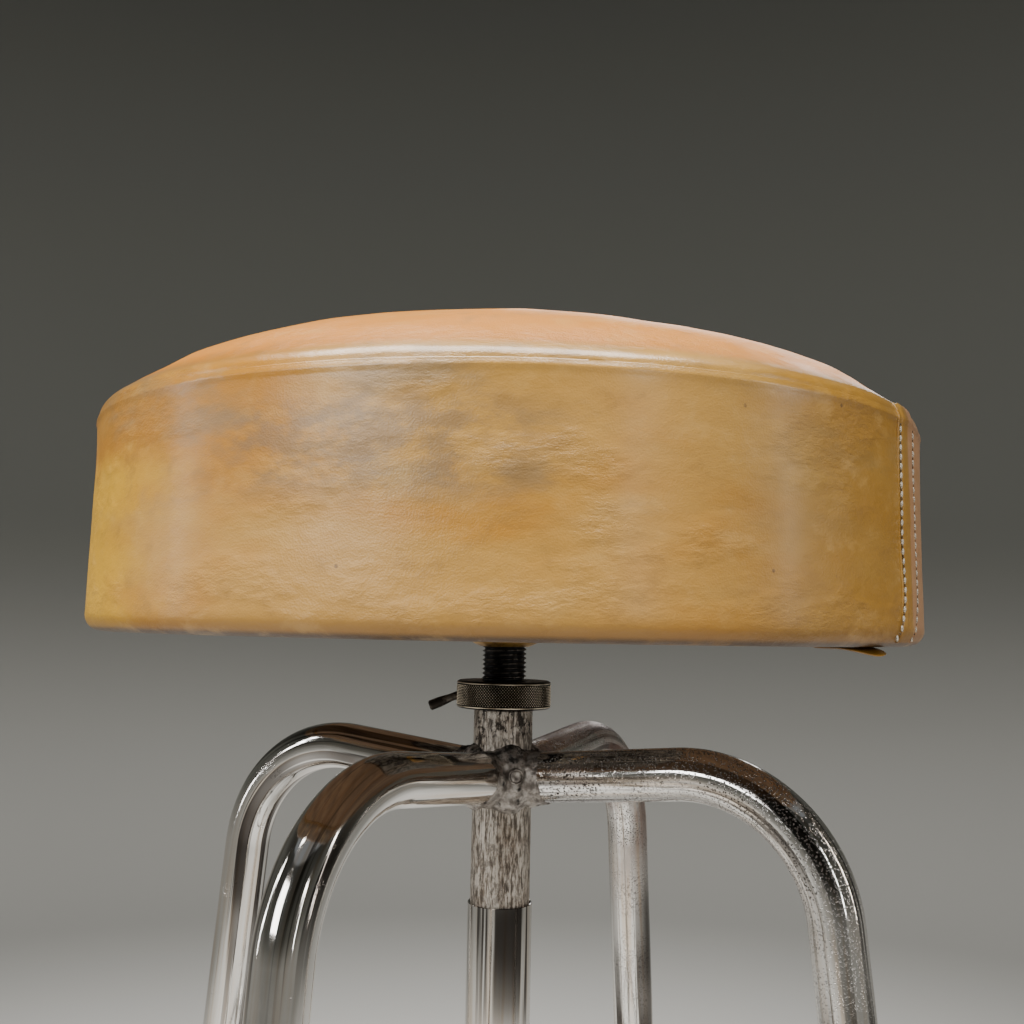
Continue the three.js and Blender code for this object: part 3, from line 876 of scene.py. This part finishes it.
plate_screw_radius = 0.0042
plate_screw_head = 0.0018
plate_screw_shank = 0.0022
plate_screw_length = 0.012
plate_slot_width = 0.0009
plate_slot_depth = 0.0011
plate_screw_sink = 0.0016
plate_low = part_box("seat_plate")[0].z


def plywood():
    finish, wire = new_finish("seat plywood")
    place = object_place(wire)
    height = part_of(place, "Z")
    grain = cloud(place, 60, stretch=(1, 0.06, 1), detail=8, roughness=0.65)
    layers = height * 420
    plies = fade(layers.maths("FRACT", layers), 0.35, 0.6)
    shade = mix(fade(grain, 0.35, 0.65), "6b5138", "4e3924")
    shade = mix(plies * 0.35, shade, "3f2d1c")
    shade = mix(fade(cloud(place, 25, detail=5), 0.55, 0.75) * 0.5, shade, "33261a")
    lacquer(wire, {
        "Base Color": shade,
        "Roughness": 0.72 + grain * 0.15,
        "Normal": relief(grain, 0.0002),
    })
    return finish


refinish("seat_board", plywood())
refinish("seat_plate", dark_steel("plate steel", 0.9))
for number in range(1, 5):
    low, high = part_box(f"seat_screw_{number}")
    screw = slotted_head(plate_screw_radius, plate_screw_head, plate_screw_shank, plate_screw_length)
    cut_slot(screw, plate_slot_width, plate_slot_depth, plate_screw_head)
    turn_shape(screw, 0.4 + number, "Z")
    turn_shape(screw, pi, "X")
    move_shape(screw, (low.x + high.x) / 2, (low.y + high.y) / 2, plate_low + plate_screw_sink)
    fit(screw, f"plate_screw_{number}", dark_finish, "seat", "dark_steel", f"seat_screw_{number}")


# ---- Cushion ---------------------------------------------------------------------------------
# A firm round foam pad, crowned in the middle and steep at its rim, glued to the board and
# squeezed by its leather cover. It is blown up a little as cloth so that it bears on the cover.

seat_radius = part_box("seat_band_leather")[1].x
seat_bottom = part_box("seat_band_leather")[0].z
band_height = 0.084
edge_radius = 0.0094
edge_turn = radians(52)
crown_rise = 0.0319
crown_power = 4.5
skin = 0.0019  # leather and glue outside the foam
board_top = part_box("seat_board")[1].z
cushion_slack = 0.003
cushion_cap = 0.0045  # the most that the foam swells
flare = 0.0003  # how much wider the cover is at its foot

roll_rise = edge_radius * sin(edge_turn)
crown_radius = seat_radius - edge_radius * (1 - cos(edge_turn))


def side_radius(height):
    """The cover's radius at a height over the seat's underside: it flares a little at its foot."""
    return seat_radius + flare * max(0, 1 - 2.2 * height / band_height) ** 2


def crown_height(radius):
    """The cover's height over the seat's underside inside the rolled edge."""
    return band_height + roll_rise + crown_rise * (1 - (radius / crown_radius) ** crown_power)


def crown_points(steps):
    """The cover's outline from the top of the band to the middle of the crown."""
    points = arc((seat_radius - edge_radius, band_height), edge_radius, 0, degrees(edge_turn), 14)
    for step in range(1, steps + 1):
        radius = crown_radius * (1 - step / steps) ** 1.35
        points.append((radius, crown_height(radius)))
    return points


def cushion_form():
    """The foam as cut: the cover's shape made smaller by the skin and some slack, flat on the board."""
    inset = skin + cushion_slack
    floor = board_top - seat_bottom + 0.0005
    outline = [(0, floor), (seat_radius - inset - 0.012, floor), (seat_radius - inset, floor + 0.006)]
    outline += [(side_radius(height) - inset, height) for height in (0.03, 0.045, 0.06, 0.075)]
    outline += [(max(radius - inset * min(1, radius / 0.05), 0), height - inset * 0.8)
                for radius, height in crown_points(18)]
    return move_shape(turned(outline, 96, closed=False), 0, 0, seat_bottom)


def foam():
    finish, wire = new_finish("foam")
    place = object_place(wire)
    cells = cloud(place, 800, detail=4, roughness=0.7)
    lacquer(wire, {
        "Base Color": mix(fade(cells, 0.4, 0.65), "d8cfa8", "a8935c"),
        "Roughness": 0.9 + cells * 0.05,
        "Normal": relief(cells, 0.0003),
    })
    return finish


def swell(piece, cap):
    """Blows a closed piece up as cloth for twenty frames, and moves no point further than cap."""
    cloth = piece.modifiers.new("swell", "CLOTH")
    cloth.settings.quality = 5
    cloth.settings.mass = 0.3
    cloth.settings.tension_stiffness = 20
    cloth.settings.compression_stiffness = 20
    cloth.settings.bending_stiffness = 2
    cloth.settings.use_pressure = True
    cloth.settings.uniform_pressure_force = 4
    cloth.settings.effector_weights.gravity = 0
    for step in range(1, 21):
        bpy.context.scene.frame_set(step)
    graph = bpy.context.evaluated_depsgraph_get()
    blown = piece.evaluated_get(graph).data
    moves = [after.co - before.co for before, after in zip(piece.data.vertices, blown.vertices)]
    piece.modifiers.clear()
    for vert, move in zip(piece.data.vertices, moves):
        vert.co = vert.co + move * min(1, cap / max(move.length, 1e-9))
        vert.co.z = max(vert.co.z, board_top + 0.0004)
    bpy.context.scene.frame_set(1)


cushion = fit(cushion_form(), "seat_cushion", foam(), "seat", "foam", "seat_padding", crease=180)
remeshed(cushion, 0.005)
swell(cushion, cushion_cap)
soften = cushion.modifiers.new("soften", "SUBSURF")
soften.levels = 1
soften.render_levels = 1


# ---- Leather cover ---------------------------------------------------------------------------
# A round top panel and a side band of old golden leather, turned in and stitched together along
# the upper edge, so that a fine ridge runs round it. The band's hem is turned under the board.

leather_thickness = 0.0016
hem_width = 0.024
corner_radius = 0.0065
cover_sides = 256
cover_cap = 0.0004
ridge_height = 0.00034
ridge_width = 0.0014
groove_depth = 0.00018
band_rings = (0.0105, 0.016, 0.023, 0.031, 0.039, 0.047, 0.055, 0.062, 0.068, 0.073, 0.077, 0.0795, 0.081,
              0.082, 0.083)
seam_rise = 0.0026  # the stitched line's distance up the roll from the top of the band
seam_azimuth = radians(-50.2)


def cover_points():
    """The whole cover's outline, from the hem under the board to the middle of the crown."""
    points = [(seat_radius - hem_width, 0.0), (seat_radius - 0.016, 0.0), (seat_radius - 0.01, 0.0)]
    foot = side_radius(0.003)
    points += arc((foot - corner_radius, corner_radius), corner_radius, -90, -4, 8)
    points += [(side_radius(height), height) for height in band_rings]
    roll = arc((seat_radius - edge_radius, band_height), edge_radius, 0, degrees(edge_turn), 22)
    for index, (radius, height) in enumerate(roll):
        rise = edge_radius * edge_turn * index / (len(roll) - 1)
        ridge = ridge_height * exp(-(rise / ridge_width) ** 2)
        groove = groove_depth * exp(-((rise - seam_rise) / ridge_width) ** 2)
        lean = edge_turn * index / (len(roll) - 1)
        points.append((radius + (ridge - groove) * cos(lean), height + (ridge - groove) * sin(lean)))
    steps = 34
    for step in range(1, steps + 1):
        radius = crown_radius * (1 - step / steps) ** 1.3
        points.append((radius, crown_height(radius)))
    return points


def press(bm, tree):
    """Lays the cover on the swollen cushion, where that is free to push it, and dents it by soft noise."""
    bm.normal_update()
    reach = 0.02
    moves = []
    for vert in bm.verts:
        height = vert.co.z - seat_bottom
        hit = tree.ray_cast(vert.co + vert.normal * reach, -vert.normal, 2 * reach)
        swollen = reach - hit[3] + skin + 0.0012 if hit[0] else 0
        free = min(1, max(0, (height - 0.02) / 0.02))
        stitched = exp(-((height - band_height - 0.004) / 0.006) ** 2)
        if hypot(vert.co.x, vert.co.y) < crown_radius - 0.004:
            stitched = 0
        push = max(-cover_cap, min(cover_cap, swollen)) * free * (1 - 0.85 * stitched)
        soft = noise.noise(vert.co * 22) * 0.0007 + noise.noise(vert.co * 70) * 0.00025
        moves.append(vert.normal * (push + soft * free * (1 - 0.6 * stitched)))
    for vert, move in zip(bm.verts, moves):
        vert.co = vert.co + move


def cut_at(bm, height_of_cut, keep_above):
    """Keeps the part of the cover above or below the stitched line."""
    bmesh.ops.bisect_plane(bm, geom=bm.verts[:] + bm.edges[:] + bm.faces[:], plane_co=(0, 0, height_of_cut),
                           plane_no=(0, 0, 1), clear_inner=keep_above, clear_outer=not keep_above)
    return bm


def leather(name):
    """Old waxed leather: golden, browned and smudged in drawn-out patches, finely creased, softly glossy,
    with a painted yellow reflection on one end and painted shade where it faces down.
    """
    finish, wire = new_finish(name)
    place = object_place(wire)
    across = part_of(place, "X")
    along = part_of(place, "Y")
    height = part_of(place, "Z") - seat_bottom
    turn = seam_azimuth + pi
    toward = across * cos(turn) + along * sin(turn)
    sideways = along * cos(turn) - across * sin(turn)
    arm = sideways.maths("ARCTAN2", sideways, toward) * seat_radius  # round the band from opposite the seam
    broad = cloud(place, 7, stretch=(1, 1, 2.2), detail=4, roughness=0.55)
    bands = cloud(place, 14, stretch=(1, 1, 3.2), detail=6, roughness=0.62, shift=3)
    mottle = cloud(place, 60, stretch=(1, 1, 1.6), detail=6, roughness=0.65)
    pores = place.add("TexVoronoi", {"Vector": place, "Scale": 1500, "Randomness": 1})
    crease_places = fade(cloud(place, 18, stretch=(1, 1, 1.8), detail=3, shift=8), 0.46, 0.62)
    creases = cloud(place, 170, stretch=(0.7, 0.7, 1.7), detail=7, roughness=0.62, shift=5)
    folds = cloud(place, 45, stretch=(0.8, 0.8, 1.5), detail=4, roughness=0.5, shift=2)
    shade = mix(fade(broad, 0.4, 0.6), "b27718", "bb8c3e")
    shade = mix(fade(bands, 0.5, 0.66) * fade(height, 0.03, 0.055) * 0.6, shade, "86704f")
    handled = fade(arm, 0.27, 0.31) * fade(arm, 0.42, 0.37)
    handled = handled * fade(height, 0.04, 0.052) * fade(height, 0.08, 0.068)
    shade = mix(handled * fade(mottle, 0.4, 0.58) * 0.5, shade, "756452")
    # Painted reflection: the band is painted yellow low on its end to the camera's left, for bright
    # yellow-green surroundings mirrored there.
    golden = fade(arm + bands * 0.14, 0.36, 0.28) * fade(arm, 0.06, 0.1)
    golden = golden * fade(height + mottle * 0.02, 0.08, 0.064)
    shade = mix(golden * 0.85, shade, "d6a31c")
    shade = mix(fade(arm, 0.43, 0.5) * 0.65, shade, "8d6b26")
    shade = mix(fade(arm, -0.5, -0.53) * 0.7, shade, "a57e62")
    # Darker towards the foot of the band, down its rounded lower corner.
    foot_darkening = fade(height, 0.009, 0.001) * fade(height, -0.0014, -0.0005)
    shade = mix(foot_darkening * 0.75, shade, "6e4a18")
    # Painted shade: faces turned downwards, under the seat, are darkened in the colour.
    facing = part_of(wire.add("NewGeometry", output="Normal"), "Z")
    shade = mix(fade(facing, -0.6, -0.9) * 0.85, shade, "2e2014")
    crown = fade(height, band_height + roll_rise - 0.001, band_height + roll_rise + 0.004)
    shade = mix(crown * 0.85, shade, "cc7d12")
    shade = mix(fade(mottle, 0.52, 0.72) * 0.4, shade, "8a6428")
    shade = mix(fade(mottle, 0.48, 0.3) * 0.2, shade, "d8ae68")
    spots = specks(place, 55, 0.05) * fade(mottle, 0.45, 0.55)
    shade = mix(spots * 0.7, shade, "4f3820")
    nicks = specks(place, 48, 0.07, stretch=(1, 1, 0.5))
    nicks = nicks * fade(height, 0.0095, 0.0065) * fade(height, 0.001, 0.003)
    shade = mix(nicks * 0.85, shade, "2f2013")
    polished = fade(height, band_height - 0.005, band_height + 0.002)
    polished = polished * fade(height, band_height + 0.016, band_height + 0.008)
    bump = relief(folds, 0.0009)
    bump = relief(creases * crease_places, 0.0012, bump)
    bump = relief(pores, 0.00007, bump)
    bump = relief(mottle, 0.0002, bump)
    lacquer(wire, {
        "Base Color": shade,
        "Roughness": 0.34 + mottle * 0.16 + crease_places * creases * 0.12 - polished * 0.12,
        "Normal": bump,
        "Specular IOR Level": 0.5,
        "Coat Weight": 0.3 * fade(height, 0.001, 0.01) + polished * 0.6,
        "Coat Roughness": 0.25,
    })
    return finish


outline = [(radius, seat_bottom + height) for radius, height in cover_points()]
cover = turned(outline, cover_sides, closed=False)
bpy.context.view_layer.update()
press(cover, BVHTree.FromObject(cushion, bpy.context.evaluated_depsgraph_get()))
cover_face = BVHTree.FromBMesh(cover)
stitch_height = seat_bottom + band_height + edge_radius * sin(seam_rise / edge_radius)
top_panel = cut_at(cover.copy(), stitch_height, True)
band = cut_at(cover, stitch_height, False)
hide = leather("golden leather")
top_piece = fit(top_panel, "seat_top_panel", hide, "seat", "leather", "seat_top_leather", crease=180)
band_piece = fit(band, "seat_side_band", hide, "seat", "leather", "seat_band_leather", crease=180)
for piece in (top_piece, band_piece):
    wall(piece, leather_thickness)


# ---- Side seam -------------------------------------------------------------------------------
# The band's two ends meet under a lapped strip of the same leather, sewn down with two rows of
# waxed grey thread. Each stitch pulls the leather in between two holes.

strip_half = 0.0101
strip_thickness = 0.0012
row_offset = 0.0087
stitch_pitch = 0.0035
stitch_length = 0.0025
stitch_radius = 0.0005
strip_top = band_height + 0.0066  # up the cover's face: the strip laps over the roll
row_top = band_height + 0.001


def on_cover(sideways, rise, lift):
    """A point that far sideways from the seam's middle, up the cover's face, over its roll and off it."""
    azimuth = seam_azimuth + sideways / seat_radius
    outward = Vector((cos(azimuth), sin(azimuth), 0))
    lean = max(0, rise - band_height) / edge_radius
    away = outward * cos(lean) + Vector((0, 0, sin(lean)))
    height = min(rise, band_height)
    middle = outward * (seat_radius - edge_radius) + Vector((0, 0, seat_bottom + max(height, 0.002)))
    hit = cover_face.ray_cast(middle + away * 0.03, -away)
    return hit[0] + away * lift + Vector((0, 0, min(0, height - 0.002)))


def row_sway(height):
    """How far a row of stitches wanders sideways: it bends in toward the hem."""
    return 0.0006 * sin(height * 95) - 0.0065 * max(0, 1 - height / 0.022) ** 2


bm = bmesh.new()
bmesh.ops.create_grid(bm, x_segments=40, y_segments=96, size=1)
for vert in bm.verts:
    sideways = vert.co.x * strip_half
    height = 0.0015 + (vert.co.y + 1) / 2 * (strip_top - 0.0015)
    row = max(exp(-((sideways - side * row_offset - row_sway(height)) / 0.0011) ** 2) for side in (-1, 1))
    pucker = 0.5 + 0.5 * cos(2 * pi * height / stitch_pitch)
    puff = strip_thickness * (0.9 - 0.6 * abs(vert.co.x) ** 8)
    lift = puff - row * (0.00035 + 0.0002 * pucker) + noise.noise(vert.co * 3.5) * 0.00015
    vert.co = on_cover(sideways + row_sway(height) * 0.5, height, lift)
strip = fit(bm, "side_seam_strip", hide, "seat", "leather", "seat_seam_strip", crease=180)
wall(strip, strip_thickness)
rounding = strip.modifiers.new("rounding", "BEVEL")
rounding.width = 0.0003
rounding.segments = 2
rounding.limit_method = "ANGLE"
rounding.angle_limit = radians(50)


def thread_finish():
    finish, wire = new_finish("waxed thread")
    place = object_place(wire)
    lay = place.add("TexWave", {"Vector": place, "Scale": 900, "Distortion": 1.5}, output="Fac",
                    bands_direction="DIAGONAL")
    fine = cloud(place, 1800, detail=3)
    lacquer(wire, {
        "Base Color": mix(fade(lay + fine * 0.5, 0.5, 1.1), "8d8474", "d6cdbb"),
        "Roughness": 0.6 + fine * 0.2,
        "Normal": relief(lay, 0.0001),
    })
    return finish


# The stitch holes are not cut: small dark beads sit over them, painted shade of the holes with some dirt in
# it.
def hole_shade_finish():
    finish, wire = new_finish("stitch holes")
    place = object_place(wire)
    dirt_and_shade = cloud(place, 1500, detail=3)
    lacquer(wire, {"Base Color": mix(dirt_and_shade, "3a2c1c", "6a5334"), "Roughness": 0.85 + dirt_and_shade * 0.1})
    return finish


stitches = bmesh.new()
holes = bmesh.new()
for side in (-1, 1):
    for index in range(int((row_top - 0.003) / stitch_pitch)):
        height = 0.0032 + index * stitch_pitch
        for bm, offset, size in ((stitches, 0, (stitch_radius, stitch_radius * 1.1, stitch_length / 2)),
                                 (holes, stitch_pitch / 2, (0.00028, 0.0005, 0.0005))):
            at = height + offset
            sideways = side * row_offset + row_sway(at) * 1.5
            bead = bmesh.ops.create_uvsphere(bm, u_segments=10, v_segments=7, radius=1)["verts"]
            bmesh.ops.scale(bm, verts=bead, vec=size)
            lean = Matrix.Rotation(0.12 * side + 0.1 * sin(index * 2.1), 3, "X")
            bmesh.ops.rotate(bm, verts=bead, matrix=lean)
            azimuth = seam_azimuth + sideways / seat_radius
            bmesh.ops.rotate(bm, verts=bead, matrix=Matrix.Rotation(azimuth, 3, "Z"))
            bmesh.ops.translate(bm, verts=bead, vec=on_cover(sideways, at, strip_thickness * 0.72 - 0.0001))
fit(stitches, "seam_stitches", thread_finish(), "seat", "leather")
fit(holes, "seam_holes", hole_shade_finish(), "seat", "leather")


# ---- Hem -------------------------------------------------------------------------------------
# The band's lower edge is turned under and tacked to the board. Near the seam a tongue of spare
# leather was left on, and its rim has worked loose and hangs a little below the seat.

tab_azimuth = radians(-57.5)
tab_half_width = 0.0158
tab_depth = 0.0125
tab_drop = 0.0027
tack_count = 30
tack_radius = 0.0032

bm = bmesh.new()
bmesh.ops.create_circle(bm, cap_ends=True, segments=48, radius=1)
bmesh.ops.inset_region(bm, faces=bm.faces[:], thickness=0.2)
bmesh.ops.inset_region(bm, faces=[face for face in bm.faces if len(face.verts) > 4], thickness=0.3)
bmesh.ops.poke(bm, faces=[face for face in bm.faces if len(face.verts) > 4])
for vert in bm.verts:
    out = max(0.0, vert.co.x)
    ripple = 0.00015 * sin(vert.co.y * 5)
    vert.co.x = seat_radius - tab_depth - 0.0022 + vert.co.x * tab_depth
    vert.co.y = vert.co.y * tab_half_width
    vert.co.z = seat_bottom - 0.0004 - tab_drop * out ** 2 + ripple * out
bmesh.ops.recalc_face_normals(bm, faces=bm.faces[:])
turn_shape(bm, tab_azimuth, "Z")
tab = fit(bm, "hem_tongue", hide, "seat", "leather", crease=180)
tab_wall = tab.modifiers.new("wall", "SOLIDIFY")
tab_wall.thickness = 0.0014
tab_wall.offset = 0
tab_soft = tab.modifiers.new("soft", "SUBSURF")
tab_soft.levels = 2
tab_soft.render_levels = 2

tacks = bmesh.new()
for index in range(tack_count):
    head = bmesh.ops.create_uvsphere(tacks, u_segments=14, v_segments=8, radius=1)["verts"]
    bmesh.ops.scale(tacks, verts=head, vec=(tack_radius, tack_radius, 0.0006))
    azimuth = 2 * pi * (index + 0.5) / tack_count
    spot = Vector((cos(azimuth), sin(azimuth), 0)) * (seat_radius - hem_width + 0.0055)
    bmesh.ops.translate(tacks, verts=head, vec=spot + Vector((0, 0, seat_bottom + 0.0004)))
fit(tacks, "hem_tacks", dark_finish, "seat", "dark_steel")


# ---- Studio ----------------------------------------------------------------------------------
# A pale floor, painted paler under the stool as a painted pool of light, that sweeps up into a plain
# grey wall all round, three soft boxes, three narrow strip lamps for the chrome, and a camera low down in
# front, level with the seat's underside.

sweep_radius = 2.6
floor_bm = turned([(0, 0), (1.0, 0), (1.9, 0)] + arc((sweep_radius - 0.7, 0.7), 0.7, -90, 0, 10)
                  + [(sweep_radius, 3.2)], 96, closed=False)
floor_mesh = bpy.data.meshes.new("studio_floor")
bmesh.ops.reverse_faces(floor_bm, faces=floor_bm.faces[:])
floor_bm.to_mesh(floor_mesh)
floor_bm.free()
floor_mesh.shade_smooth()
floor_finish, floor_wire = new_finish("studio sweep")
floor_place = object_place(floor_wire)
lift = fade(part_of(floor_place, "Z"), 0.0, 0.9)
# Painted pool of light: the floor is paler under the stool and darker further out.
floor_shade = mix(fade(from_axis(floor_place), 0.7, 1.9), "d9d6d0", "a19f99")
floor_shade = mix(lift, floor_shade, "5b5b55")
lacquer(floor_wire, {"Base Color": floor_shade, "Roughness": 0.8 + lift * 0.1})
floor_mesh.materials.append(floor_finish)
floor = bpy.data.objects.new("studio_floor", floor_mesh)
bpy.context.scene.collection.objects.link(floor)


def soft_box(name, place, aim, width, height, power, tint=(1, 1, 1)):
    """A rectangular lamp at a place, turned to face a point."""
    lamp = bpy.data.lights.new(name, "AREA")
    lamp.shape = "RECTANGLE"
    lamp.size = width
    lamp.size_y = height
    lamp.energy = power
    lamp.color = tint
    holder = bpy.data.objects.new(name, lamp)
    look = (Vector(aim) - Vector(place)).to_track_quat("-Z", "Y")
    holder.matrix_world = Matrix.Translation(place) @ look.to_matrix().to_4x4()
    bpy.context.scene.collection.objects.link(holder)


seat_middle = (0, 0, seat_bottom)
soft_box("overhead", (-0.2, -0.3, 2.0), seat_middle, 1.6, 0.9, 58)
soft_box("key", (-1.5, -1.1, 1.3), seat_middle, 0.9, 0.9, 22)
soft_box("back fill", (1.0, 1.7, 1.5), seat_middle, 1.0, 0.8, 8)
soft_box("right strip", (1.35, -0.95, 1.0), seat_middle, 0.07, 1.2, 4.5, (1.0, 0.95, 0.9))
soft_box("left strip", (-1.6, 0.35, 0.95), seat_middle, 0.07, 1.2, 4.5)
soft_box("front strip", (0.45, -1.75, 0.9), (0, 0, 0.5), 0.06, 0.9, 3)

world = bpy.data.worlds.new("studio")
world.use_nodes = True
world.node_tree.nodes["Background"].inputs["Color"].default_value = (0.75, 0.78, 0.8, 1)
world.node_tree.nodes["Background"].inputs["Strength"].default_value = 0.25
bpy.context.scene.world = world

camera_distance = 0.50756
camera_turn = radians(-16.18)
camera_lift = 0.00473  # over the seat's underside
camera_tilt = 0.10394
camera_roll = 0.0195
camera_yaw = 0.00421
camera_data = bpy.data.cameras.new("camera")
camera_data.sensor_width = 36
camera_data.lens = 36 * 1100 / 1024
camera_data.clip_start = 0.01
camera = bpy.data.objects.new("camera", camera_data)
stand = Vector((sin(camera_turn), -cos(camera_turn), 0)) * camera_distance
stand.z = seat_bottom + camera_lift
facing = (Matrix.Rotation(camera_turn - camera_yaw, 4, "Z") @ Matrix.Rotation(pi / 2 + camera_tilt, 4, "X")
          @ Matrix.Rotation(camera_roll, 4, "Z"))
camera.matrix_world = Matrix.Translation(stand) @ facing
bpy.context.scene.collection.objects.link(camera)
bpy.context.scene.camera = camera
